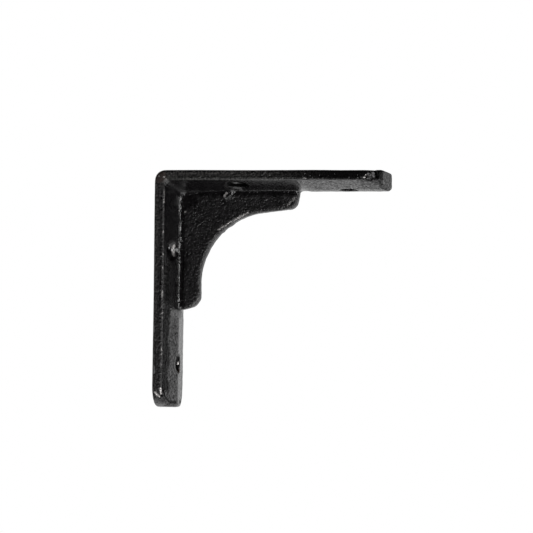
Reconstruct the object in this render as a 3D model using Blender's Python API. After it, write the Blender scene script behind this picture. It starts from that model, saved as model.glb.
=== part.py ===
"""Cast-iron shelf bracket: two drafted plates at a right angle, stiffened by one arched web.

Metres, +Z up. The origin is at the middle of the back face of the wall plate. +X points
out from the wall, +Y across the width, and the top of the shelf plate is at z = WALL_DROP / 2.
"""

import math

import bmesh
import bpy
from mathutils import Matrix, Vector

MM = 0.001

# Driving dimensions of the casting.
WALL_DROP = 100 * MM            # length of the wall plate, from the outer corner down
SHELF_REACH = 97.5 * MM         # length of the shelf plate, from the outer corner out
WIDTH = 32 * MM                 # both plates
WEB_THICKNESS = 4.2 * MM
WALL_EDGE_THICKNESS = 4.1 * MM  # the plates at their long edges
SHELF_EDGE_THICKNESS = 3.8 * MM
ROOT_THICKNESS = 7.3 * MM       # both plates along the web
TIP_RADIUS = 8.5 * MM           # rounded corners of each plate's free end
OUTER_CORNER_RADIUS = 4.3 * MM  # where the two plates meet
EDGE_ROUNDING = 0.9 * MM        # soft edges and fillets of the sand casting

# The web, measured from the outer corner: along the shelf plate, and down the wall plate.
WEB_SHELF_END = 60.5 * MM       # its end line carried on into the shelf plate
WEB_WALL_END = 60.0 * MM        # its end line carried on into the wall plate
WEB_BURIED = 3.0 * MM           # how deep the web is sunk into both plates
SHELF_SHOULDER = (58.0 * MM, 15.0 * MM)
WALL_SHOULDER = (16.2 * MM, 56.4 * MM)
ARCH_CORNER = (16.2 * MM, 20.0 * MM)
SHELF_SHOULDER_RADIUS = 3.8 * MM
WALL_SHOULDER_RADIUS = 5.5 * MM
ARCH_RADIUS = 30.4 * MM

# Countersunk screw holes: two beside the web and one near the tip of each plate.
HOLE_DIAMETER = 6.0 * MM
COUNTERSINK_DIAMETER = 9.0 * MM
WALL_PAIR_AT = 33.2 * MM        # distances from the outer corner
WALL_TIP_HOLE_AT = 81.7 * MM
SHELF_PAIR_AT = 34.6 * MM
SHELF_TIP_HOLE_AT = 81.0 * MM

TIP_STEPS = 8
CORNER_STEPS = 6
ARCH_STEPS = 24
SHOULDER_STEPS = 6
HOLE_SIDES = 32
ROUNDING_STEPS = 3
CUTTER_OVERLAP = 3 * MM
SHARP_ANGLE = math.radians(30)
FLAT_ANGLE = math.radians(0.1)

HALF_WIDTH = WIDTH / 2
HALF_WEB = WEB_THICKNESS / 2
FLANGE = HALF_WIDTH - HALF_WEB  # what stands out on each side of the web
PAIR_OFFSET = HALF_WEB + FLANGE / 2


def clear_scene():
    for item in list(bpy.data.objects):
        bpy.data.objects.remove(item)


def from_corner(out, across, down):
    """A point of the bracket from its distances to the outer corner."""
    return Vector((out, across, WALL_DROP / 2 - down))


def plate_thickness(across, edge_thickness):
    """The plates are thickest along the web, and draft away to their long edges."""
    beside_web = max(abs(across) - HALF_WEB, 0.0)
    return ROOT_THICKNESS - (ROOT_THICKNESS - edge_thickness) * beside_web / FLANGE


def wall_thickness(across):
    return plate_thickness(across, WALL_EDGE_THICKNESS)


def shelf_thickness(across):
    return plate_thickness(across, SHELF_EDGE_THICKNESS)


def width_stations():
    """Places across the width, near edge to far edge, with how much the rounded tips lose there."""
    corner = []
    for step in range(TIP_STEPS + 1):
        angle = math.pi / 2 * step / TIP_STEPS
        across = HALF_WIDTH - TIP_RADIUS + TIP_RADIUS * math.cos(angle)
        lost = TIP_RADIUS * (1 - math.sin(angle))
        corner.append((across, lost))
    corner.append((HALF_WEB, 0.0))
    near = [(-across, lost) for across, lost in corner]
    return near + corner[::-1]


def plates_section(across, lost):
    """The closed L that the two plates make in a cut square to the width."""
    wall = wall_thickness(across)
    shelf = shelf_thickness(across)
    loop = [from_corner(0, across, WALL_DROP - lost)]
    for step in range(CORNER_STEPS + 1):
        angle = math.pi / 2 * step / CORNER_STEPS
        out = OUTER_CORNER_RADIUS * (1 - math.cos(angle))
        down = OUTER_CORNER_RADIUS * (1 - math.sin(angle))
        loop.append(from_corner(out, across, down))
    loop.append(from_corner(SHELF_REACH - lost, across, 0))
    loop.append(from_corner(SHELF_REACH - lost, across, shelf))
    loop.append(from_corner(wall, across, shelf))
    loop.append(from_corner(wall, across, WALL_DROP - lost))
    return loop


def add_object(name, bm):
    bmesh.ops.recalc_face_normals(bm, faces=bm.faces)
    mesh = bpy.data.meshes.new(name)
    bm.to_mesh(mesh)
    bm.free()
    item = bpy.data.objects.new(name, mesh)
    bpy.context.scene.collection.objects.link(item)
    return item


def make_plates():
    """Both plates in one mesh, skinned from the near edge to the far edge."""
    bm = bmesh.new()
    loops = [[bm.verts.new(point) for point in plates_section(*station)] for station in width_stations()]
    for before, after in zip(loops, loops[1:]):
        count = len(before)
        for i in range(count):
            j = (i + 1) % count
            bm.faces.new((before[i], before[j], after[j], after[i]))
    bm.faces.new(loops[0])
    bm.faces.new(loops[-1])
    bm.normal_update()
    bmesh.ops.recalc_face_normals(bm, faces=bm.faces)
    bmesh.ops.dissolve_limit(bm, angle_limit=FLAT_ANGLE, verts=bm.verts, edges=bm.edges)
    return add_object("bracket", bm)


def rounded(before, corner, after, radius, steps):
    """The arc that replaces a corner between two straight runs."""
    start, middle, end = Vector(before), Vector(corner), Vector(after)
    to_start = (start - middle).normalized()
    to_end = (end - middle).normalized()
    half_angle = to_start.angle(to_end) / 2
    centre = middle + (to_start + to_end).normalized() * (radius / math.sin(half_angle))
    run = radius / math.tan(half_angle)
    first = middle + to_start * run - centre
    sweep = first.angle_signed(middle + to_end * run - centre)
    return [centre + Matrix.Rotation(-sweep * step / steps, 2) @ first for step in range(steps + 1)]


def web_outline():
    """The web seen from its side, as distances (along the shelf plate, down the wall plate)."""
    buried = WEB_BURIED
    shelf_end = (WEB_SHELF_END, buried)
    wall_end = (buried, WEB_WALL_END)
    points = [Vector((buried, buried)), Vector(shelf_end)]
    points += rounded(shelf_end, SHELF_SHOULDER, ARCH_CORNER, SHELF_SHOULDER_RADIUS, SHOULDER_STEPS)
    points += rounded(SHELF_SHOULDER, ARCH_CORNER, WALL_SHOULDER, ARCH_RADIUS, ARCH_STEPS)
    points += rounded(ARCH_CORNER, WALL_SHOULDER, wall_end, WALL_SHOULDER_RADIUS, SHOULDER_STEPS)
    points.append(Vector(wall_end))
    return points


def make_web():
    bm = bmesh.new()
    outline = [bm.verts.new(from_corner(out, -HALF_WEB, down)) for out, down in web_outline()]
    side = bm.faces.new(outline)
    grown = bmesh.ops.extrude_face_region(bm, geom=[side])
    moved = [item for item in grown["geom"] if isinstance(item, bmesh.types.BMVert)]
    bmesh.ops.translate(bm, verts=moved, vec=(0, WEB_THICKNESS, 0))
    return add_object("web_body", bm)


def make_screw_hole(name, seat, axis, thickness):
    """A countersunk hole; seat is on the outer face, and axis points out of the plate's inner face."""
    hole_radius = HOLE_DIAMETER / 2
    rim_radius = COUNTERSINK_DIAMETER / 2
    cone_start = thickness - (rim_radius - hole_radius)
    top = thickness + CUTTER_OVERLAP
    rings = [
        (-CUTTER_OVERLAP, hole_radius),
        (cone_start, hole_radius),
        (top, rim_radius + CUTTER_OVERLAP),
    ]
    turn = Vector((0, 0, 1)).rotation_difference(axis).to_matrix()
    bm = bmesh.new()
    loops = []
    for height, radius in rings:
        loop = []
        for step in range(HOLE_SIDES):
            angle = 2 * math.pi * (step + 0.5) / HOLE_SIDES
            local = Vector((radius * math.cos(angle), radius * math.sin(angle), height))
            loop.append(bm.verts.new(seat + turn @ local))
        loops.append(loop)
    for lower, upper in zip(loops, loops[1:]):
        for i in range(HOLE_SIDES):
            j = (i + 1) % HOLE_SIDES
            bm.faces.new((lower[i], lower[j], upper[j], upper[i]))
    bm.faces.new(loops[0])
    bm.faces.new(loops[-1])
    return add_object(name, bm)


def make_all_screw_holes():
    out_of_wall = Vector((1, 0, 0))
    under_shelf = Vector((0, 0, -1))
    wall_seats = [(-PAIR_OFFSET, WALL_PAIR_AT), (PAIR_OFFSET, WALL_PAIR_AT), (0, WALL_TIP_HOLE_AT)]
    shelf_seats = [(-PAIR_OFFSET, SHELF_PAIR_AT), (PAIR_OFFSET, SHELF_PAIR_AT), (0, SHELF_TIP_HOLE_AT)]
    cutters = []
    for index, (across, down) in enumerate(wall_seats):
        seat = from_corner(0, across, down)
        cutters.append(make_screw_hole(f"wall_hole_{index + 1}", seat, out_of_wall, wall_thickness(across)))
    for index, (across, out) in enumerate(shelf_seats):
        seat = from_corner(out, across, 0)
        cutters.append(make_screw_hole(f"shelf_hole_{index + 1}", seat, under_shelf, shelf_thickness(across)))
    return cutters


def combine(item, other, operation):
    """Adds or cuts with another body, which then stays only as a guide."""
    other.hide_render = True
    other.display_type = "WIRE"
    boolean = item.modifiers.new(other.name, "BOOLEAN")
    boolean.operation = operation
    boolean.solver = "EXACT"
    boolean.object = other


def soften_edges(item):
    rounding = item.modifiers.new("casting_rounding", "BEVEL")
    rounding.width = EDGE_ROUNDING
    rounding.segments = ROUNDING_STEPS
    rounding.limit_method = "ANGLE"
    rounding.angle_limit = SHARP_ANGLE


def black_paint():
    """Satin black paint over rough cast iron."""
    material = bpy.data.materials.new("black_painted_iron")
    material.use_nodes = True
    shader = material.node_tree.nodes["Principled BSDF"]
    shader.inputs["Base Color"].default_value = (0.022, 0.021, 0.023, 1)
    shader.inputs["Roughness"].default_value = 0.5
    shader.inputs["Metallic"].default_value = 0.0
    return material


def main():
    clear_scene()
    bracket = make_plates()
    combine(bracket, make_web(), "UNION")
    soften_edges(bracket)
    for cutter in make_all_screw_holes():
        combine(bracket, cutter, "DIFFERENCE")
    bracket.data.materials.append(black_paint())
    bracket.data.shade_smooth()
    bracket.data.set_sharp_from_angle(angle=SHARP_ANGLE)


main()
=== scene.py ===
# %% [markdown]
# # A black-painted cast-iron shelf bracket
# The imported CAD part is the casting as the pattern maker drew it: two drafted plates, one arched
# web, six countersunk screw holes. This lesson gives it the skin that a real casting has. The
# shape work is done on a fine copy of the mesh, the paint is one procedural material, and the
# light is the soft white light of a studio table.

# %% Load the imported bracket
import math

import bmesh
import bpy
import numpy as np
from mathutils import Matrix, Vector, noise


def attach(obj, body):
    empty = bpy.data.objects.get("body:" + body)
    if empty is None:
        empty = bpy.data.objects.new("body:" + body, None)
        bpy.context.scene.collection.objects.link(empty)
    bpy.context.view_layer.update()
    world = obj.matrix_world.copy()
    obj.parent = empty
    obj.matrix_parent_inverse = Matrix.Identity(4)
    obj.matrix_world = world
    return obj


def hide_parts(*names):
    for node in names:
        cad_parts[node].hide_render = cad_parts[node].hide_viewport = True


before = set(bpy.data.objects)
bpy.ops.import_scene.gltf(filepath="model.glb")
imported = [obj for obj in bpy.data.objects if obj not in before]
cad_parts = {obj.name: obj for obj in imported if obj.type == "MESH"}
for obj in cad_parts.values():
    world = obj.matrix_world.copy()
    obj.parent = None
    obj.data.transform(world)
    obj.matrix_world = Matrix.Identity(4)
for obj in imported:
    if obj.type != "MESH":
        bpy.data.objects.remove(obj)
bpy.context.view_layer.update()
MM = 0.001

# %% [markdown]
# ## The camera
# The photograph was taken from far away with a long lens, a little to the right of the bracket
# and a little below it, so almost no perspective shows. A camera is fully described by where it
# stands, where it looks and its focal length. We build its axes by hand from three small angles,
# because that is easier to correct than an aimed camera: each angle moves the picture one way.

# %% Camera
IMAGE_SIDE = 533
SENSOR_MM = 36.0
FOCAL_PIXELS = 2704.7
CAMERA_PLACE = Vector((329.9, -1116.0, -44.4)) * MM
TURN_LEFT = 0.2497
TURN_UP = 0.0474
ROLL = 0.0150


def camera_matrix(place, left, up, roll):
    """The camera's place and axes from its turn to the left, its turn upwards and its roll."""
    level_right = Vector((math.cos(left), math.sin(left), 0))
    level_ahead = Vector((-math.sin(left), math.cos(left), 0))
    ahead = math.cos(up) * level_ahead + math.sin(up) * Vector((0, 0, 1))
    above = math.cos(up) * Vector((0, 0, 1)) - math.sin(up) * level_ahead
    right = math.cos(roll) * level_right + math.sin(roll) * above
    above = math.cos(roll) * above - math.sin(roll) * level_right
    turned = Matrix((right, above, -ahead)).transposed().to_4x4()
    return Matrix.Translation(place) @ turned


lens = bpy.data.cameras.new("long_lens")
lens.sensor_width = SENSOR_MM
lens.lens = FOCAL_PIXELS / IMAGE_SIDE * SENSOR_MM
lens.clip_start = 0.01
camera = bpy.data.objects.new("camera", lens)
bpy.context.scene.collection.objects.link(camera)
camera.matrix_world = camera_matrix(CAMERA_PLACE, TURN_LEFT, TURN_UP, ROLL)
bpy.context.scene.camera = camera
print("lens, mm:", round(lens.lens, 1))

# %% [markdown]
# ## The light
# Black paint shows almost nothing of its own colour. What the eye reads as its shape is the room
# mirrored in it, so the room is what has to be right. The bracket stands before plain white. The
# light comes from behind it, from below and from the right, and the camera's side is dim. A world
# shader that looks at the direction of each ray gives such a room without noise. It is a dim room
# with a few glows, each a direction with a soft rim. The camera itself sees plain white.

# %% World
ROOM_DIM = 0.025
# Name: direction, where its rim starts and where it is full (as cosines), brightness.
GLOWS = {
    "back": ((-0.40, 0.92, 0.0), 0.75, 0.96, 0.70),
    "right_back": ((0.66, 0.75, 0.0), 0.80, 0.985, 1.38),
    "low_back": ((-0.35, 0.80, -0.48), 0.87, 0.985, 1.5),
    "below": ((-0.28, 0.25, -0.92), 0.82, 0.96, 2.2),
    "low_right": ((0.53, -0.12, -0.84), 0.80, 0.96, 1.8),
    "left": ((-1.0, 0.1, 0.0), 0.60, 0.95, 0.30),
}

world = bpy.data.worlds.new("white_studio")
bpy.context.scene.world = world
world.use_nodes = True
tree = world.node_tree
tree.nodes.clear()
direction = tree.nodes.new("ShaderNodeTexCoord")
brightness = None
for name, (towards, start, full, level) in GLOWS.items():
    facing = tree.nodes.new("ShaderNodeVectorMath")
    facing.label = name
    facing.operation = "DOT_PRODUCT"
    facing.inputs[1].default_value = Vector(towards).normalized()
    glow = tree.nodes.new("ShaderNodeMapRange")
    glow.interpolation_type = "SMOOTHSTEP"
    glow.inputs["From Min"].default_value = start
    glow.inputs["From Max"].default_value = full
    glow.inputs["To Min"].default_value = ROOM_DIM
    glow.inputs["To Max"].default_value = level
    tree.links.new(direction.outputs["Generated"], facing.inputs[0])
    tree.links.new(facing.outputs["Value"], glow.inputs["Value"])
    if brightness is None:
        brightness = glow.outputs["Result"]
        continue
    brighter = tree.nodes.new("ShaderNodeMath")
    brighter.operation = "MAXIMUM"
    tree.links.new(brightness, brighter.inputs[0])
    tree.links.new(glow.outputs["Result"], brighter.inputs[1])
    brightness = brighter.outputs[0]

room = tree.nodes.new("ShaderNodeBackground")
seen = tree.nodes.new("ShaderNodeBackground")
ray = tree.nodes.new("ShaderNodeLightPath")
chosen = tree.nodes.new("ShaderNodeMixShader")
output = tree.nodes.new("ShaderNodeOutputWorld")
room.inputs["Color"].default_value = (1, 1, 1, 1)
seen.inputs["Color"].default_value = (1, 1, 1, 1)
tree.links.new(brightness, room.inputs["Strength"])
tree.links.new(ray.outputs["Is Camera Ray"], chosen.inputs["Fac"])
tree.links.new(room.outputs[0], chosen.inputs[1])
tree.links.new(seen.outputs[0], chosen.inputs[2])
tree.links.new(chosen.outputs[0], output.inputs["Surface"])
bpy.context.scene.view_settings.view_transform = "Standard"
print("room glows:", ", ".join(GLOWS))

# %% [markdown]
# A pale table top lies below and behind the bracket and lights its undersides. Two soft boxes
# stand on the camera's side, a large one low down and a small one on the right, and give the
# narrow faces and the rounded edges their sheen. A lamp of fixed power looks dimmer the larger it
# is, so we choose how bright a box looks, and work out its power from that.

# %% Floor and soft boxes
FLOOR_MIDDLE = (0.0, 1.15, -0.6)
FLOOR_SIDE = 2.0
FLOOR_GLOW = 1.15
BOX_AIM = (0.05, 0, 0)
# Name: place, side, brightness.
SOFT_BOXES = {
    "soft_box_front": ((0.55, -1.05, -0.75), 0.65, 7.8),
    "soft_box_right": ((0.95, -0.25, 0.0), 0.22, 14),
}


def add_floor():
    bpy.ops.mesh.primitive_plane_add(size=FLOOR_SIDE, location=FLOOR_MIDDLE)
    floor = bpy.context.object
    floor.name = "pale_floor"
    material = bpy.data.materials.new("pale_floor")
    material.use_nodes = True
    shader = material.node_tree.nodes["Principled BSDF"]
    shader.inputs["Base Color"].default_value = (0.8, 0.8, 0.8, 1)
    shader.inputs["Roughness"].default_value = 0.9
    shader.inputs["Emission Color"].default_value = (1, 1, 1, 1)
    shader.inputs["Emission Strength"].default_value = FLOOR_GLOW
    floor.data.materials.append(material)


def add_soft_box(name, place, side, brightness):
    """A square light of a given brightness, so that its mirror image doesn't change with its size."""
    light = bpy.data.lights.new(name, "AREA")
    light.shape = "SQUARE"
    light.size = side
    light.energy = brightness * math.pi * side * side
    box = bpy.data.objects.new(name, light)
    bpy.context.scene.collection.objects.link(box)
    box.location = place
    box.rotation_euler = (Vector(BOX_AIM) - Vector(place)).to_track_quat("-Z", "Y").to_euler()


add_floor()
for name, settings in SOFT_BOXES.items():
    add_soft_box(name, *settings)
print("soft boxes:", ", ".join(SOFT_BOXES))

# %% [markdown]
# ## A fine copy of the casting
# The CAD mesh has few, large faces, and a surface can only be worked where it has points. A voxel
# remesh wraps the solid in an even net of small squares. Its step sets the finest dent that the
# shape can hold, and here it is just under half a millimetre.

# %% Remesh
NET_STEP = 0.435 * MM


def fine_copy(node, step):
    """A welded copy of a CAD node, wrapped in an even net of squares."""
    bm = bmesh.new()
    bm.from_mesh(node.data)
    bmesh.ops.remove_doubles(bm, verts=bm.verts, dist=1e-6)
    welded = bpy.data.meshes.new("welded")
    bm.to_mesh(welded)
    bm.free()
    piece = bpy.data.objects.new("painted_casting", welded)
    bpy.context.scene.collection.objects.link(piece)
    wrap = piece.modifiers.new("net", "REMESH")
    wrap.mode = "VOXEL"
    wrap.voxel_size = step
    evaluated = piece.evaluated_get(bpy.context.evaluated_depsgraph_get())
    wrapped = bpy.data.meshes.new_from_object(evaluated)
    piece.modifiers.clear()
    piece.data = wrapped
    return piece


casting = fine_copy(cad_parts["bracket"], NET_STEP)
triangles = sum(len(face.vertices) - 2 for face in casting.data.polygons)
print("net:", len(casting.data.vertices), "points,", triangles, "triangles")

# %% [markdown]
# ## Working on points
# The rest of the shape is made by moving points. It is far quicker to move all of them at once
# with numpy than one by one, so the points go into one array. We use the bracket's own
# measures in millimetres: how far out from the wall, how far across, how far down from the top.

# %% Points and their neighbours
WALL_DROP = 100.0
HALF_WIDTH = 16.0
HALF_WEB = 2.1
WALL_EDGE = 4.1         # thickness of the wall plate at its long edges
SHELF_EDGE = 3.8
ROOT_THICKNESS = 7.3    # both plates along the web


def read_points(mesh):
    flat = np.empty(len(mesh.vertices) * 3)
    mesh.vertices.foreach_get("co", flat)
    place = flat.reshape(-1, 3) / MM
    return np.column_stack((place[:, 0], place[:, 1], WALL_DROP / 2 - place[:, 2]))


def write_points(mesh, points):
    place = np.column_stack((points[:, 0], points[:, 1], WALL_DROP / 2 - points[:, 2])) * MM
    mesh.vertices.foreach_set("co", place.ravel())
    mesh.update()


def read_normals(mesh):
    flat = np.empty(len(mesh.vertices) * 3, np.float32)
    mesh.vertex_normals.foreach_get("vector", flat)
    return flat.reshape(-1, 3).astype(float) * (1, 1, -1)


def neighbour_table(mesh):
    """For each point the numbers of its neighbours, filled up with its own number."""
    ends = np.empty(len(mesh.edges) * 2, np.int32)
    mesh.edges.foreach_get("vertices", ends)
    ends = ends.reshape(-1, 2)
    start = np.concatenate((ends[:, 0], ends[:, 1]))
    other = np.concatenate((ends[:, 1], ends[:, 0]))
    order = np.argsort(start, kind="stable")
    start, other = start[order], other[order]
    count = np.bincount(start, minlength=len(mesh.vertices))
    first = np.concatenate(([0], np.cumsum(count)[:-1]))
    rank = np.arange(len(start)) - first[start]
    table = np.repeat(np.arange(len(mesh.vertices))[:, None], count.max(), axis=1)
    table[start, rank] = other
    return table, count


points = read_points(casting.data)
neighbours, neighbour_count = neighbour_table(casting.data)
spare = (neighbours.shape[1] - neighbour_count)[:, None]


def neighbour_mean(values):
    values = values.reshape(len(values), -1)
    return (values[neighbours].sum(axis=1) - spare * values) / neighbour_count[:, None]


def relaxed(values, share, rounds):
    """Each round moves every value part of the way to the mean of its neighbours."""
    values = values.reshape(len(values), -1).copy()
    share = np.broadcast_to(np.asarray(share, float), (len(values),))[:, None]
    for _ in range(rounds):
        values += share * (neighbour_mean(values) - values)
    return values


def smooth_step(value, low, high):
    """Rises softly from 0 at the low end to 1 at the high end."""
    t = np.clip((value - low) / (high - low), 0, 1)
    return t * t * (3 - 2 * t)


def smooth_drop(value, low, high):
    return 1 - smooth_step(value, low, high)


def highest(*masks):
    """The highest of several masks at each point."""
    return np.maximum.reduce(masks)


print("points span, mm:", np.round(points.min(0), 2), np.round(points.max(0), 2))

# %% [markdown]
# ## Fillets
# Molten iron doesn't fill a sharp inner corner, and the pattern maker runs a fillet of wax along
# every one. The CAD solid has a small fillet. Here the points near those lines are relaxed until
# the corner is a soft cove. The cove is widest at the knee, where the web meets both plates, and
# in the valley between the plates on each side of the web.

# %% Fillets
WEB_END_ON_WALL = 62.0     # how far down the wall plate the web's fillet runs
WEB_END_ON_SHELF = 63.0    # how far out along the shelf plate
KNEE_AT = 9.0              # the knee's distance from both outer faces
FAR_OFF = 99.0             # stands for no joint within reach


def plate_thickness(across, edge):
    """Each plate is thickest along the web and drafts away to its long edges."""
    draft = (ROOT_THICKNESS - edge) / (HALF_WIDTH - HALF_WEB)
    return ROOT_THICKNESS - draft * np.maximum(np.abs(across) - HALF_WEB, 0)


out, across, down = points.T
side = np.abs(across)
to_wall_joint = np.hypot(out - ROOT_THICKNESS, side - HALF_WEB)
to_wall_joint = np.where(down < WEB_END_ON_WALL, to_wall_joint, FAR_OFF)
to_shelf_joint = np.hypot(down - ROOT_THICKNESS, side - HALF_WEB)
to_shelf_joint = np.where(out < WEB_END_ON_SHELF, to_shelf_joint, FAR_OFF)
to_valley = np.hypot(out - plate_thickness(across, WALL_EDGE), down - plate_thickness(across, SHELF_EDGE))
to_valley = np.where(side > HALF_WEB, to_valley, FAR_OFF)
to_joint = np.minimum(np.minimum(to_wall_joint, to_shelf_joint), to_valley)
to_knee = np.hypot(np.hypot(out - KNEE_AT, down - KNEE_AT), 0.8 * (side - HALF_WEB))
fillet_share = 0.6 * smooth_drop(to_joint, 0.6, 1.9)
knee_share = 0.6 * smooth_drop(to_knee, 3.0, 6.5) * (np.minimum(out, down) > 3.0)
valley_share = 0.6 * smooth_drop(to_valley, 1.2, 3.2)
points = relaxed(points, 0.5, 1)
points = relaxed(points, fillet_share, 12)
points = relaxed(points, knee_share, 45)
points = relaxed(points, valley_share, 25)
for name, share in {"fillets": fillet_share, "knee": knee_share, "valley": valley_share}.items():
    print(f"{name}: {int((share > 0.05).sum())} points")

# %% [markdown]
# ## Zones
# Each zone of the casting is a number from 0 to 1 at every point, made of smooth steps over the
# three measures. Zones multiply where both must hold, so one line names a place on the bracket.
# The gritty zone is the near slope of the wall plate below the web, where the mould's sand was
# coarse. A slow wave makes its border uneven.

# %% Zones
def waves(places, size, seed):
    """Smooth noise from -1 to 1 at each place; size is the length of a wave in mm."""
    offset = Vector((seed * 17.3, seed * 5.1, seed * 29.7))
    return np.array([noise.noise(Vector(place) / size + offset) for place in places])


on_ground_face = highest(smooth_drop(out, 0.3, 1.2), smooth_drop(down, 0.3, 1.2))
narrow_face = smooth_step(side, 15.0, 15.7)
inner_face = (1 - narrow_face) * smooth_step(out, 2.0, 3.4) * smooth_step(down, 2.0, 3.4)
slope = inner_face * smooth_step(side, HALF_WEB + 0.4, HALF_WEB + 1.4)
beside_web = smooth_drop(out, 59, 66) * smooth_drop(down, 56, 63)
on_shelf = smooth_step(out - down, -1.0, 1.0)
uneven_rim = -9.0 + 1.5 * waves(points, 5.0, 9)
gritty = slope * smooth_step(down, 54, 60) * smooth_drop(down, 92, 97)
gritty = gritty * smooth_drop(across, uneven_rim - 1.5, uneven_rim + 1.5)
print("gritty points:", int((gritty > 0.5).sum()))

# %% [markdown]
# ## The skin of the casting
# Iron poured into sand copies the sand: long shallow waves where the mould was rammed unevenly,
# shorter ones from the paint, and a grain finer than our net, which is left to the material. The
# two outer faces, which lie against wall and shelf, were ground flat and keep only a faint wave.
# The wall plate beside the web is calm too, and the gritty zone and the coves carry crumbs.

# %% Waves
write_points(casting.data, points)
normals = read_normals(casting.data)
calm = 1 - highest(0.75 * on_ground_face, 0.7 * slope * beside_web * (1 - on_shelf))
long_wave = waves(points, 9.0, 1)
short_wave = waves(points, 3.0, 2)
ripple = waves(points, 1.3, 3)
crumbs = waves(points, 1.15, 10)
near_joint = smooth_drop(to_joint, 0.8, 1.8)
skin = 0.10 * long_wave + 0.06 * short_wave + 0.06 * ripple
skin += (0.28 * gritty + 0.14 * near_joint) * crumbs
points = points + normals * (skin * calm)[:, None]
print("skin height, mm:", round(float(skin.min()), 3), "to", round(float(skin.max()), 3))

# %% [markdown]
# ## Edges
# Handling wears the outer edges first, and never evenly. A point on an outer edge lies outside
# the mean of its neighbours, so the distance to a relaxed copy of the mesh finds every edge,
# however it runs. There the points are drawn in a little, by an amount that a slow wave varies.

# %% Worn edges
bulge = ((points - relaxed(points, 0.5, 5)) * normals).sum(axis=1)
edge = smooth_step(bulge, 0.03, 0.16)
uneven = 0.5 + 0.5 * waves(points, 4.0, 4)
points = points - normals * (edge * (0.03 + 0.10 * uneven ** 2 - 0.13 * crumbs))[:, None]
edge_zone = relaxed(edge, 0.5, 3)[:, 0]
print("points on outer edges:", int((edge > 0.5).sum()))

# %% [markdown]
# ## Single marks
# What makes a casting this one and no other is a handful of marks: a knob of iron where a sand
# grain fell out, a scab on the web, and chips along the edges. Each is the two ends of a short
# line, a radius and a height, all in mm. The height is positive for a lump and negative for a bite.

# %% Lumps and bites
def to_segment(places, start, end):
    """Distance of each place to the straight line between two places, in mm."""
    start, end = np.array(start, float), np.array(end, float)
    run = end - start
    t = np.clip((places - start) @ run / max(run @ run, 1e-9), 0, 1)
    return np.linalg.norm(places - (start + t[:, None] * run), axis=1)


def streak(start, end, radius):
    """A soft mark along a line: 1 in its middle, 0 from its radius on."""
    return smooth_drop(to_segment(points, start, end), 0.45 * radius, radius)


KNOB = ((7.3, -2.3, 27.4), (7.3, -2.3, 28.6), 1.1, 0.35)
SCAB = ((27.4, -2.1, 9.6), (29.4, -2.1, 7.8), 2.2, 0.75)
SCAB_TAIL = ((29.5, -2.1, 10.0), (31.5, -2.1, 9.6), 1.2, 0.2)
TOP_NICKS = [
    ((41.1, -16, 0), (42.1, -16, 0.2), 1.0, -0.30),
    ((56.2, -16, 0), (57.4, -16, 0.1), 1.1, -0.35),
    ((65.2, -16, 3.6), (66.0, -16, 3.8), 0.9, -0.30),
    ((81.7, -16, 0), (82.3, -16, 0.1), 0.9, -0.25),
]
SHELF_TIP_BITE = ((93.2, -15.2, 0.2), (95.0, -14.4, 3.2), 1.5, -0.40)
BACK_EDGE_BITES = [
    ((0, -16, 66.2), (0, -16, 68.6), 0.9, -0.30),
    ((0, -16, 78.2), (0.2, -16, 79.2), 0.9, -0.25),
    ((0.4, -16, 83.4), (0.6, -16, 85.6), 1.0, -0.25),
    ((0, -16, 33.2), (0, -16, 33.6), 0.9, -0.25),
]
WALL_TIP_BITES = [
    ((4.0, -16.0, 92.4), (4.3, -15.4, 96.2), 0.7, -0.22),
    ((1.4, -15.7, 94.2), (4.2, -14.9, 97.1), 0.6, -0.18),
]
RIM_BITES = [
    ((24.4, -2.2, 24.2), (30.4, -2.2, 20.6), 0.9, -0.15),
    ((31.4, -2.2, 20.1), (37.4, -2.2, 16.9), 0.9, -0.20),
    ((54.6, -2.2, 13.9), (58.2, -2.2, 10.4), 0.9, -0.15),
    ((15.6, -2.1, 55.0), (17.0, -2.1, 52.0), 0.8, -0.15),
]
bites = TOP_NICKS + [SHELF_TIP_BITE] + BACK_EDGE_BITES + WALL_TIP_BITES + RIM_BITES
rough_bite = 0.7 + 0.6 * waves(points, 0.9, 5)
height = np.zeros(len(points))
for start, end, radius, rise in [KNOB, SCAB, SCAB_TAIL]:
    height += rise * streak(start, end, radius)
for start, end, radius, rise in bites:
    height += rise * streak(start, end, radius) * rough_bite
points = points + normals * height[:, None]
print("lumps and bites, mm:", round(float(height.max()), 2), "and", round(float(height.min()), 2))

# %% [markdown]
# ## Out of square
# A casting is never quite square, for the corner cools last and pulls the arms together. Here the
# outer faces lean out a little near the corner. Past the web, the far half of the shelf plate is
# fuller than the near half. The far slope of the wall plate is flatter and starts at the near side
# of the web, so the plate is thinner in the middle. Its near half is slightly hollow, and the web's
# free edge and both tips stand a little proud. The three measures are views of the points, so they
# follow each move, and the order of the moves counts.

# %% Out of square
WALL_LEAN = 0.28           # all in mm
SHELF_LEAN = 0.30
SHELF_DROOP = 0.20
TIP_RISE = 0.55
SHELF_FULLER = 0.85
RIM_PROUD = 0.35
ARCH_PROUD = 1.05
ARCH_MIDDLE = (30, 26)     # out and down
TIPS_PROUD = 0.45
FAR_DRAFT = 0.168          # thickness that the wall plate's far slope loses per mm of width
NEAR_HOLLOW = 0.35

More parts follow.
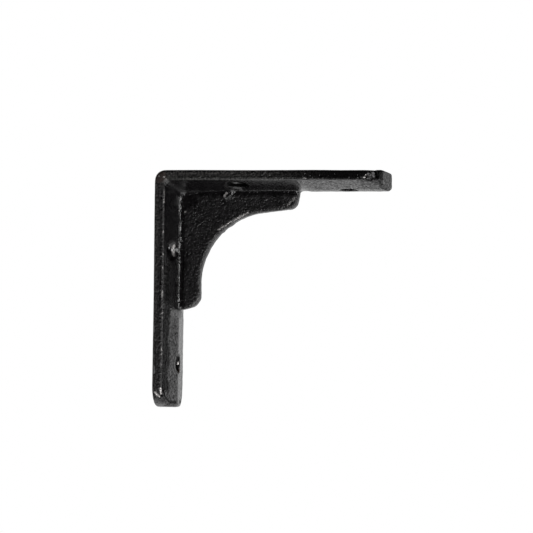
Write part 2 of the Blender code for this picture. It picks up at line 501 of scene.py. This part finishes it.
out, across, down = points.T
outer_wall = smooth_drop(out, 1.5, 6.0)
outer_shelf = smooth_drop(down, 1.5, 6.0)
points[:, 0] -= WALL_LEAN * outer_wall * smooth_drop(down, 10, 62)
lean = SHELF_LEAN * smooth_drop(out, 8, 50) - SHELF_DROOP * smooth_step(out, 68, 84)
lean += TIP_RISE * smooth_step(out, 92, 95) * smooth_step(across, -12, -8)
points[:, 2] -= lean * outer_shelf
far_half = smooth_step(across, 1.5, 6.0) * smooth_drop(across, 8.5, 14.5)
points[:, 2] += SHELF_FULLER * far_half * smooth_step(out, 60, 64) * smooth_step(down, 2.5, 4.5)
free_edge = (np.abs(across) < 2.6) * smooth_step(out, 8.5, 10.5) * smooth_step(down, 8.5, 10.5)
free_edge = free_edge * edge_zone
to_arch_middle = np.hypot(out - ARCH_MIDDLE[0], down - ARCH_MIDDLE[1])
fuller = RIM_PROUD + ARCH_PROUD * smooth_drop(to_arch_middle, 3.0, 12.0)
points[:, (0, 2)] += (fuller * free_edge)[:, None] * normals[:, (0, 2)]
shelf_tip = smooth_step(out, 90, 94) * smooth_step(down, 1.5, 3.0)
tip_edge = edge_zone * highest(shelf_tip, smooth_step(down, 94, 98))
points += TIPS_PROUD * tip_edge[:, None] * normals
far_slope = ROOT_THICKNESS - FAR_DRAFT * (across + HALF_WEB)
far_wall = smooth_step(across, -2.3, -1.9) * smooth_step(down, 60, 63) * smooth_step(out, 1.5, 4.0)
points[:, 0] += far_wall * (far_slope - plate_thickness(across, WALL_EDGE))
hollow = np.sin(np.pi * np.clip((-across - HALF_WEB) / (HALF_WIDTH - HALF_WEB), 0, 1))
hollow = hollow * smooth_step(out, 2.5, 4.0) * smooth_drop(out, 8, 10) * smooth_step(down, 8, 14)
points[:, 0] -= NEAR_HOLLOW * hollow * smooth_drop(down, 88, 96)
print("free edge proud by up to", round(float((fuller * free_edge).max()), 2), "mm")

# %% [markdown]
# The paint adds its own thickness all over. Then the points go back into the mesh, which is shaded
# smooth, because the net is fine enough to hold every rounding.

# %% Put the shape back
PAINT_THICKNESS = 0.18

points += normals * PAINT_THICKNESS
write_points(casting.data, points)
casting.data.shade_smooth()
print("visual span, mm:", np.round(points.min(0), 2), np.round(points.max(0), 2))

# %% [markdown]
# ## Where the paint differs
# One paint covers the casting, but it doesn't look the same everywhere. It lies thick and smooth
# in the coves, beside the web, in the screw holes and on the far slope of the wall plate. In the
# coves, the knee, the holes and beside the web its colour is also made deeper black, as painted
# shade where the light doesn't reach. It is dry and grey on the narrow long faces, which get
# handled, and lightest along their outer edges. Far out along the shelf the narrow face is darker
# and glossy. We store each of these as one number a point, and the material reads it by name.

# %% Pooled paint, painted shade and dry paint
HOLE_OFFSET = 9.05         # the middle of a hole beside the web, from the middle line
WALL_PAIR_AT = 33.2        # distances from the outer corner
WALL_TIP_HOLE_AT = 81.7
SHELF_PAIR_AT = 34.6
SHELF_TIP_HOLE_AT = 81.0
WALL_HOLES = [(-HOLE_OFFSET, WALL_PAIR_AT), (HOLE_OFFSET, WALL_PAIR_AT), (0.0, WALL_TIP_HOLE_AT)]
SHELF_HOLES = [(-HOLE_OFFSET, SHELF_PAIR_AT), (HOLE_OFFSET, SHELF_PAIR_AT), (0.0, SHELF_TIP_HOLE_AT)]
PLATE_DEPTH = 8.5          # more than either plate's thickness, less than the web's height


def store(name, values):
    layer = casting.data.attributes.new(name, "FLOAT", "POINT")
    layer.data.foreach_set("value", np.clip(values, 0, 1).astype(np.float32))
    print(f"{name}: mean {float(np.clip(values, 0, 1).mean()):.3f}")


out, across, down = points.T
side = np.abs(across)
in_hole = np.zeros(len(points))
for along, through, holes in ((down, out, WALL_HOLES), (out, down, SHELF_HOLES)):
    for hole_across, hole_at in holes:
        radial = np.hypot(along - hole_at, across - hole_across)
        in_hole = highest(in_hole, smooth_drop(radial, 4.3, 5.1) * (through < PLATE_DEPTH))
to_uneven_knee = np.hypot(out - ROOT_THICKNESS, down - ROOT_THICKNESS) + 1.5 * waves(points, 3.0, 12)
knee = 0.8 - 0.8 * smooth_step(to_uneven_knee, 5.0, 11.0)
coves = smooth_drop(to_joint + 0.8 * waves(points, 2.0, 13), 1.2, 3.0) * inner_face
far_along = smooth_step(out, 40, 80) * on_shelf
dry = narrow_face * (1 - far_along)
# Smooth pooled paint. Its colour is also darkened here as painted shade in the coves, the knee, the holes
# and beside the web, and it is darker far out along the shelf's narrow face.
pooled_and_shade = highest(
    slope * beside_web * (1 - 0.25 * on_shelf),
    knee * inner_face,
    0.8 * coves,
    in_hole,
    0.8 * narrow_face * smooth_step(out, 40, 80) * on_shelf,
    far_wall * inner_face,
)
store("pooled_and_shade", pooled_and_shade)
store("on_shelf", on_shelf)
store("dry", dry)
store("handled", dry * smooth_drop(np.minimum(out, down), 0.7, 2.4))
store("gritty", gritty)

# %% [markdown]
# Where the paint is thin, the dark scale of the iron shows through it. Scale is dull and mirrors
# very little, so it darkens the paint. It lies in the grit, where its darkness partly stands as
# painted shade between the grains. Elsewhere the same dark layer is painted shade and dark painted
# reflection: in the holes near the tips, as a shadow ring round the shelf plate's holes beside the
# web, along the rounded tips and the rims of their slopes, low beside the web, and as a dark line
# on each side of the plates' front edges, which keeps their highlights narrow. It also makes the
# slopes past the web darker.

# %% Thin paint and painted shade
TIP_ROUND = 8.5            # radius of the rounded corners at the tips
ROUND_ACROSS = 7.5         # where that rounding starts, from the middle line
WALL_ROUND_AT = 91.5       # and from the outer corner
SHELF_ROUND_AT = 89.0
# The ring is a painted shadow.
SHADOW_RING_RADIUS = 4.0          # the dark ring in the countersinks of the shelf plate


def shade_flank(to_edge):
    """Painted shade lines on both sides of a worn edge, which keep its highlight narrow; from the
    distance to it.
    """
    return smooth_step(to_edge, 0.55, 0.85) * smooth_drop(to_edge, 1.2, 1.8)


past_start = np.where(down > out, down - WALL_ROUND_AT, out - SHELF_ROUND_AT)
past_corner = np.hypot(np.maximum(side - ROUND_ACROSS, 0), np.maximum(past_start, 0))
rim_at = np.where(down > out, 1.9, 1.2)
# A painted dark line along the rim of each rounded tip's slope.
tip_rim_dark_line = smooth_drop(np.abs(TIP_ROUND - past_corner - rim_at), 0.25, 0.8)
tip_rim_dark_line = tip_rim_dark_line * slope * smooth_step(np.maximum(down, out), 88, 92)
# A dark painted reflection on the rounded tips; their end faces are made darker too.
round_end_dark_reflection = smooth_step(out, 93.5, 95.5) * smooth_drop(across, -9.5, -7.5) * smooth_drop(down, 3.4, 4.2)
end_face = smooth_step(out, 96.2, 96.8) * smooth_step(across, -9.5, -7.5)
# Painted shade in the holes near the tips.
tip_hole_shade = in_hole * smooth_step(np.maximum(out, down), 60, 65)
# A painted shadow ring in the countersinks of the shelf plate's holes beside the web.
to_shadow_ring = np.abs(np.hypot(out - SHELF_PAIR_AT, side - HOLE_OFFSET) - SHADOW_RING_RADIUS)
past_web = (0.34 + 0.06 * smooth_step(out, 84, 90)) * slope * (1 - beside_web) * (1 - far_wall)
wall_shade_flank = shade_flank(np.hypot(out - WALL_EDGE, across + HALF_WIDTH)) * smooth_step(down, 6, 9)
wall_shade_flank = wall_shade_flank * (1 - 0.3 * narrow_face * smooth_step(down, 52, 68))
shelf_shade_flank = shade_flank(np.hypot(down - SHELF_EDGE, across + HALF_WIDTH)) * smooth_step(out, 6, 9)
# Painted shade on the wall plate's slope low beside the web.
shaded = slope * (across < 0) * smooth_step(side, 7.0, 11.0) * smooth_step(down, 34, 42)
shaded = shaded * smooth_drop(down, 56, 60)
# Dull scale in the grit; the rest is painted shade and dark painted reflection.
scale_and_shade = highest(
    0.60 * gritty,
    0.47 * tip_hole_shade,
    0.7 * tip_rim_dark_line,
    0.62 * round_end_dark_reflection,
    0.43 * end_face,
    0.8 * smooth_drop(to_shadow_ring, 0.3, 0.9) * (down < 8.0) * (down > 1.5),
    past_web,
    0.30 * far_wall * inner_face * smooth_step(down, 78, 88),
    0.46 * wall_shade_flank,
    0.42 * shelf_shade_flank * highest(narrow_face, beside_web),
    0.46 * shaded,
)
store("scale_and_shade", scale_and_shade)

# %% [markdown]
# Edges lose their paint first. The wall plate's inner long edges are worn through in dashes. The
# web's rim has specks, most of them at both shoulders and in one patch of the arch; the even share
# of them all along the rim is a painted highlight on its edge. Bites that were cut before show bare
# iron too, and so do single specks, each a place and a radius. Two light spots inside screw holes,
# one beside the web and one near the wall plate's tip, are painted highlights.

# %% Bare spots and painted highlights
ARCH_PATCH_RADIUS = 2.2
SPECKS = [
    ((1.6, -16, 2.3), 0.4), ((3.8, -16, 2.6), 0.4), ((4.8, -16, 3.7), 0.5), ((91.6, -16, 2.2), 0.5),
    ((91.0, -16, 3.2), 0.5), ((7.2, -3.4, 16.2), 0.5), ((9.5, -2.1, 16.5), 0.5), ((27.2, -2.6, 9.8), 0.9),
    ((28.0, -2.8, 8.6), 0.8), ((5.5, -13.0, 8.3), 0.6), ((7.3, -2.4, 28.0), 0.6),
    ((5.6, -10.0, 5.4), 0.6), ((6.6, -5.6, 6.5), 0.6), ((7.6, -3.2, 7.8), 0.4),
]

dashes = 0.5 + 0.5 * smooth_step(waves(points, 1.1, 6) + 0.5 * waves(points, 6.0, 7), 0.0, 0.5)
inner_long_edges = smooth_drop(np.hypot(out - WALL_EDGE, side - HALF_WIDTH), 0.35, 0.75)
edge_line = inner_long_edges * smooth_step(down, 5.0, 8.0) * smooth_drop(down, 90, 95) * dashes
upper_cluster = 0.45 * streak((4.2, -16, 11.5), (4.2, -16, 16.0), 0.7)
rim = edge * (side < HALF_WEB + 0.7) * smooth_step(out, 9.5, 11.5) * smooth_step(down, 7.0, 8.0)
rim_specks = smooth_step(waves(points, 1.1, 8), 0.0, 0.4)
lower_shoulder = smooth_drop(np.hypot(out - 15.5, down - 54), 3.0, 6.0)
upper_shoulder = smooth_drop(np.hypot(out - 60, down - 12), 3.0, 5.5)
arch_patch = streak(*RIM_BITES[1][:2], ARCH_PATCH_RADIUS)
arch_band = smooth_step(out, 19, 23) * smooth_drop(out, 34, 39)
wear_and_highlight_share = 0.5 + lower_shoulder + upper_shoulder + arch_patch + 0.35 * arch_band
# Real wear at the shoulders and in the arch patch; the even base along the whole rim and the arch band
# are a painted highlight.
rim_wear_and_highlight = rim * np.clip(wear_and_highlight_share, 0, 1) * (0.4 + 0.6 * rim_specks)
# Painted highlights: light spots inside two screw holes.
hole_highlight = 0.40 * streak((5.2, -5.0, 31.2), (5.2, -5.0, 35.4), 1.4)
tip_hole_highlight = 0.6 * streak((6.4, 2.5, 79.9), (5.9, 3.3, 81.8), 0.7)
bare_and_highlight = highest(0.42 * edge_line, upper_cluster * dashes, 0.75 * rim_wear_and_highlight, hole_highlight, tip_hole_highlight)
for start, end, radius, _ in TOP_NICKS + RIM_BITES:
    bare_and_highlight = highest(bare_and_highlight, 0.40 * streak(start, end, 0.8 * radius))
for start, end, radius, _ in WALL_TIP_BITES:
    bare_and_highlight = highest(bare_and_highlight, streak(start, end, radius))
for place, radius in SPECKS:
    bare_and_highlight = highest(bare_and_highlight, 0.7 * streak(place, place, 1.2 * radius))
store("bare_and_highlight", bare_and_highlight)

# %% [markdown]
# A little rust has come through at the outer corner and low in the wall plate's tip hole. The
# bites along the back edge and at the shelf's tip aren't bare but chalky.

# %% Rust and chalky marks
outer_corner = smooth_drop(np.hypot(out - 2.0, down - 2.0), 1.5, 4.5)
low_rim = streak((6.6, 2.5, 85.0), (7.0, 3.8, 84.0), 1.2)
store("rust", highest(outer_corner * (0.5 + 0.5 * uneven), 0.8 * low_rim))

tip_rub = 0.55 * streak((94.4, -14.9, 0.6), (95.0, -14.5, 2.8), 1.3)
tip_rub_end = 0.36 * streak((92.2, -15.6, 1.0), (93.4, -15.3, 3.0), 1.2)
chalk = highest(tip_rub, tip_rub_end)
for start, end, radius, _ in BACK_EDGE_BITES[:3]:
    chalk = highest(chalk, streak(start, end, 1.1 * radius))
store("chalk", chalk)

# %% [markdown]
# ## Effects as node groups
# An effect with a name of its own is built once as a group, with named sockets. Inside the groups
# all lengths are in millimetres, so a size of 0.4 means a grain of 0.4 mm, and a height is a real
# height. The bump node then needs a distance of one millimetre and nothing else.

# %% Group helpers
def new_group(name, inputs, outputs):
    group = bpy.data.node_groups.new(name, "ShaderNodeTree")
    for label, kind in inputs:
        group.interface.new_socket(label, in_out="INPUT", socket_type=kind)
    for label, kind in outputs:
        group.interface.new_socket(label, in_out="OUTPUT", socket_type=kind)
    return group, group.nodes.new("NodeGroupInput"), group.nodes.new("NodeGroupOutput")


def feed(tree, socket, value):
    """Gives an input its value: another node's output, a colour or a number."""
    if isinstance(value, bpy.types.NodeSocket):
        tree.links.new(value, socket)
    elif isinstance(value, tuple):
        socket.default_value = (*value, 1)
    else:
        socket.default_value = value


def math_node(tree, operation, first, second, clamp=False):
    node = tree.nodes.new("ShaderNodeMath")
    node.operation = operation
    node.use_clamp = clamp
    feed(tree, node.inputs[0], first)
    feed(tree, node.inputs[1], second)
    return node.outputs[0]


def noise_node(tree, vector, size, detail=2.0, roughness=0.5):
    """Smooth noise around 0.5; size in mm is a number or a socket."""
    node = tree.nodes.new("ShaderNodeTexNoise")
    node.inputs["Detail"].default_value = detail
    node.inputs["Roughness"].default_value = roughness
    tree.links.new(vector, node.inputs["Vector"])
    if isinstance(size, bpy.types.NodeSocket):
        tree.links.new(math_node(tree, "DIVIDE", 1.0, size), node.inputs["Scale"])
    else:
        node.inputs["Scale"].default_value = 1 / size
    return node.outputs["Fac"]


def ramp_node(tree, value, low, high, to_low=0.0, to_high=1.0):
    """A smooth step from one level to another."""
    node = tree.nodes.new("ShaderNodeMapRange")
    node.interpolation_type = "SMOOTHSTEP"
    tree.links.new(value, node.inputs["Value"])
    for label, level in (("From Min", low), ("From Max", high), ("To Min", to_low), ("To Max", to_high)):
        node.inputs[label].default_value = level
    return node.outputs["Result"]


def mix_node(tree, kind, share, first, second):
    """Mixes two numbers (kind FLOAT) or two colours (kind RGBA)."""
    node = tree.nodes.new("ShaderNodeMix")
    node.data_type = kind
    tree.links.new(share, node.inputs["Factor"])
    feed(tree, node.inputs["A"], first)
    feed(tree, node.inputs["B"], second)
    return node.outputs["Result"]


print("helpers: new_group, feed, math_node, noise_node, ramp_node, mix_node")

# %% [markdown]
# Sand grain is a sum of two noises: round grains and the clumps they form. Small pits are the
# places where a clump fell away, cut with a step so that they have a rim.

# %% Sand grain group
sand, given, result = new_group(
    "sand_grain",
    [("Place", "NodeSocketVector"), ("Grain Size", "NodeSocketFloat"), ("Height", "NodeSocketFloat")],
    [("Height", "NodeSocketFloat"), ("Speckle", "NodeSocketFloat")],
)
grains = noise_node(sand, given.outputs["Place"], given.outputs["Grain Size"], 1.5, 0.6)
clumps = noise_node(sand, given.outputs["Place"], 1.3, 2.0, 0.55)
pits = ramp_node(sand, noise_node(sand, given.outputs["Place"], 1.0, 0.0), 0.60, 0.72)
level = math_node(sand, "ADD", grains, math_node(sand, "MULTIPLY", clumps, 1.2))
level = math_node(sand, "SUBTRACT", level, math_node(sand, "MULTIPLY", pits, 0.5))
sand.links.new(math_node(sand, "MULTIPLY", level, given.outputs["Height"]), result.inputs["Height"])
sand.links.new(ramp_node(sand, grains, 0.42, 0.60), result.inputs["Speckle"])
print("sand_grain:", len(sand.nodes), "nodes")

# %% [markdown]
# A flat that was drawn across sand or rubbed with a cloth has long fine marks. They are the same
# noise with its space stretched in one direction.

# %% Drag marks group
MARK_STRETCH = 0.16        # along the marks, where less means longer
MARK_CLOSENESS = 2.0       # across them


def stretched(tree, place, stretch):
    node = tree.nodes.new("ShaderNodeVectorMath")
    node.operation = "MULTIPLY"
    node.inputs[1].default_value = stretch
    tree.links.new(place, node.inputs[0])
    return node.outputs[0]


drag, given, result = new_group(
    "drag_marks",
    [("Place", "NodeSocketVector"), ("Along Shelf", "NodeSocketFloat")],
    [("Marks", "NodeSocketFloat")],
)
along_shelf = stretched(drag, given.outputs["Place"], (MARK_STRETCH, MARK_CLOSENESS, MARK_CLOSENESS))
along_wall = stretched(drag, given.outputs["Place"], (MARK_CLOSENESS, MARK_CLOSENESS, MARK_STRETCH))
shelf_marks = noise_node(drag, along_shelf, 1.0, 3.0, 0.6)
wall_marks = noise_node(drag, along_wall, 1.0, 3.0, 0.6)
chosen_marks = mix_node(drag, "FLOAT", given.outputs["Along Shelf"], wall_marks, shelf_marks)
drag.links.new(chosen_marks, result.inputs["Marks"])
print("drag_marks:", len(drag.nodes), "nodes")

# %% [markdown]
# A mask stored on the points is soft, because the net is half a millimetre wide. Paint breaks off
# with a crisp, crooked rim. This group lets noise push the soft mask up and down before it is cut
# by a steep step. The bare spots, the rust, the thin paint and the chalky marks all use it.

# %% Crooked rim group
rim_group, given, result = new_group(
    "crooked_rim",
    [("Place", "NodeSocketVector"), ("Amount", "NodeSocketFloat"), ("Size", "NodeSocketFloat")],
    [("Mask", "NodeSocketFloat")],
)
crooked = noise_node(rim_group, given.outputs["Place"], given.outputs["Size"], 3.0, 0.6)
push = math_node(rim_group, "MULTIPLY", crooked, 0.9)
pushed = math_node(rim_group, "ADD", given.outputs["Amount"], push)
cut = ramp_node(rim_group, pushed, 0.72, 0.98)
present = ramp_node(rim_group, given.outputs["Amount"], 0.02, 0.15)
rim_group.links.new(math_node(rim_group, "MULTIPLY", cut, present), result.inputs["Mask"])
print("crooked_rim:", len(rim_group.nodes), "nodes")

# %% [markdown]
# ## The paint
# The material starts from clean satin black and adds one layer after another: deep and smooth
# where it has pooled, and darker there as painted shade in the recesses and beside the web; grey
# where it is dry; dark scale where it is thin, with the same dark layer used as painted shade and
# dark painted reflection; then rust, chalk, and last bare iron, which also carries painted
# highlights. Scale and bare iron are the metallic parts. Colours are given as linear light.

# %% Colours and masks of the paint
PAINT_BLACK_LOW = (0.0005, 0.0004, 0.0005)
PAINT_BLACK_HIGH = (0.0190, 0.0174, 0.0186)
DRY_ON_WALL = (0.0200, 0.0186, 0.0193)
DRY_ON_SHELF = (0.0310, 0.0300, 0.0272)
DRY_HANDLED = (0.0700, 0.0660, 0.0650)
# Pooled paint, also the colour of painted shade in the recesses and beside the web
POOLED_BLACK_AND_SHADE = (0.0030, 0.0026, 0.0030)
CHALK = (0.150, 0.147, 0.150)
# Scale, also the colour of painted shade and dark painted reflections
IRON_SCALE_AND_SHADE = (0.0012, 0.0011, 0.0012)
RUST = (0.032, 0.018, 0.013)
# Bare iron, also the colour of painted highlights
BARE_IRON_AND_HIGHLIGHT = (0.52, 0.50, 0.49)
RUST_COVER = 0.6           # the paint still shows through the rust
GRAIN_SIZE = 0.85          # in mm
GRAIN_HEIGHT = 0.21

paint = bpy.data.materials.new("black_painted_iron")
paint.use_nodes = True
tree = paint.node_tree
shader = tree.nodes["Principled BSDF"]
where = tree.nodes.new("ShaderNodeTexCoord")
to_mm = tree.nodes.new("ShaderNodeVectorMath")
to_mm.operation = "SCALE"
to_mm.inputs["Scale"].default_value = 1 / MM
tree.links.new(where.outputs["Object"], to_mm.inputs[0])
place = to_mm.outputs[0]


def mask(name):
    """One of the masks that are stored on the points."""
    node = tree.nodes.new("ShaderNodeAttribute")
    node.attribute_name = name
    return node.outputs["Fac"]


def group_node(group, **values):
    """A group used in the paint; each value is a number or a socket."""
    node = tree.nodes.new("ShaderNodeGroup")
    node.node_tree = group
    for label, value in values.items():
        feed(tree, node.inputs[label.replace("_", " ")], value)
    return node


def crisp_mask(name, size):
    """A stored mask with a crooked rim; size is the length of its teeth in mm."""
    return group_node(rim_group, Place=place, Amount=mask(name), Size=size).outputs["Mask"]


pooled_and_shade_mask = mask("pooled_and_shade")
dry_mask = mask("dry")
grain = group_node(sand, Place=place, Grain_Size=GRAIN_SIZE, Height=GRAIN_HEIGHT)
speckle = grain.outputs["Speckle"]
gritty_mask = mask("gritty")
on_shelf_mask = mask("on_shelf")
marks = group_node(drag, Place=place, Along_Shelf=on_shelf_mask).outputs["Marks"]
patches = noise_node(tree, place, 7.0, 3.0, 0.6)
bare_and_highlight_mask = crisp_mask("bare_and_highlight", 0.4)
rust_mask = crisp_mask("rust", 1.2)
scale_and_shade_mask = crisp_mask("scale_and_shade", 1.0)
chalk_mask = crisp_mask("chalk", 0.8)
print("masks of the paint:", len(tree.nodes), "nodes")

# %% [markdown]
# The speckle of the grain breaks up the dry grey, so that it sits on the tops of the grains and
# leaves the hollows black.

# %% Colour of the paint
on_grains = ramp_node(tree, speckle, 0.0, 1.0, 0.1, 1.0)
dry_share = math_node(tree, "MULTIPLY", dry_mask, on_grains, clamp=True)
dry_colour = mix_node(tree, "RGBA", on_shelf_mask, DRY_ON_WALL, DRY_ON_SHELF)
dry_colour = mix_node(tree, "RGBA", mask("handled"), dry_colour, DRY_HANDLED)
colour = mix_node(tree, "RGBA", speckle, PAINT_BLACK_LOW, PAINT_BLACK_HIGH)
# Pooled paint, deeper black as painted shade in the recesses and beside the web
colour = mix_node(tree, "RGBA", pooled_and_shade_mask, colour, POOLED_BLACK_AND_SHADE)
colour = mix_node(tree, "RGBA", dry_share, colour, dry_colour)
# Scale, together with painted shade and dark painted reflections
colour = mix_node(tree, "RGBA", scale_and_shade_mask, colour, IRON_SCALE_AND_SHADE)
colour = mix_node(tree, "RGBA", math_node(tree, "MULTIPLY", rust_mask, RUST_COVER), colour, RUST)
colour = mix_node(tree, "RGBA", chalk_mask, colour, CHALK)
# Bare iron, and painted highlights in two holes and along the web's rim
colour = mix_node(tree, "RGBA", bare_and_highlight_mask, colour, BARE_IRON_AND_HIGHLIGHT)
tree.links.new(colour, shader.inputs["Base Color"])
print("with its colour:", len(tree.nodes), "nodes")

# %% [markdown]
# Gloss tells the layers apart more than colour does. Pooled paint is almost a mirror, dry paint is
# satin, and scale, rust and chalk are dull. Each layer has its roughness, and the sand grain and
# the drag marks make the satin uneven.

# %% Gloss and metal
BARE_METAL = 0.6           # a thin film of paint and rust stays on the bare spots

gloss = ramp_node(tree, patches, 0.35, 0.65, 0.22, 0.29)
gloss = math_node(tree, "ADD", gloss, ramp_node(tree, marks, 0.3, 0.7, -0.06, 0.09))
gloss = math_node(tree, "ADD", gloss, ramp_node(tree, speckle, 0.0, 1.0, 0.16, 0.0))
# Each layer: mask, roughness.
LAYERS = [
    (dry_share, 0.36),
    (pooled_and_shade_mask, 0.09),
    (scale_and_shade_mask, 0.55),
    (rust_mask, 0.75),
    (chalk_mask, 0.8),
    (bare_and_highlight_mask, 0.38),
]
for layer_mask, roughness in LAYERS:
    gloss = mix_node(tree, "FLOAT", layer_mask, gloss, roughness)
tree.links.new(gloss, shader.inputs["Roughness"])
metal = math_node(tree, "MAXIMUM", math_node(tree, "MULTIPLY", bare_and_highlight_mask, BARE_METAL), scale_and_shade_mask)
tree.links.new(metal, shader.inputs["Metallic"])
print("layers of gloss:", len(LAYERS))

# %% [markdown]
# The grain is too fine for the net, so it is a bump. It fades where the paint has pooled and fills
# the hollows, and is strongest in the gritty zone. A bare spot lies a little lower than the paint.

# %% Relief of the paint
PAINT_RELIEF = 1.2         # shares of the grain's height
POOLED_RELIEF = 0.20
GRITTY_RELIEF = 1.4
MARKS_HEIGHT = 0.11        # in mm
BARE_DEPTH = 0.03

grain_share = mix_node(tree, "FLOAT", pooled_and_shade_mask, PAINT_RELIEF, POOLED_RELIEF)
grain_share = mix_node(tree, "FLOAT", gritty_mask, grain_share, GRITTY_RELIEF)
relief = math_node(tree, "MULTIPLY", grain.outputs["Height"], grain_share)
relief = math_node(tree, "ADD", relief, math_node(tree, "MULTIPLY", marks, MARKS_HEIGHT))
relief = math_node(tree, "SUBTRACT", relief, math_node(tree, "MULTIPLY", bare_and_highlight_mask, BARE_DEPTH))
bump = tree.nodes.new("ShaderNodeBump")
bump.inputs["Distance"].default_value = MM
bump.inputs["Strength"].default_value = 1.0
tree.links.new(relief, bump.inputs["Height"])
tree.links.new(bump.outputs["Normal"], shader.inputs["Normal"])

casting.data.materials.clear()
casting.data.materials.append(paint)
print("paint:", len(tree.nodes), "nodes")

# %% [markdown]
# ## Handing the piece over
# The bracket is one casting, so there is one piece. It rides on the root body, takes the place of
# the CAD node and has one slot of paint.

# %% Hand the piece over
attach(casting, "root")
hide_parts("bracket")
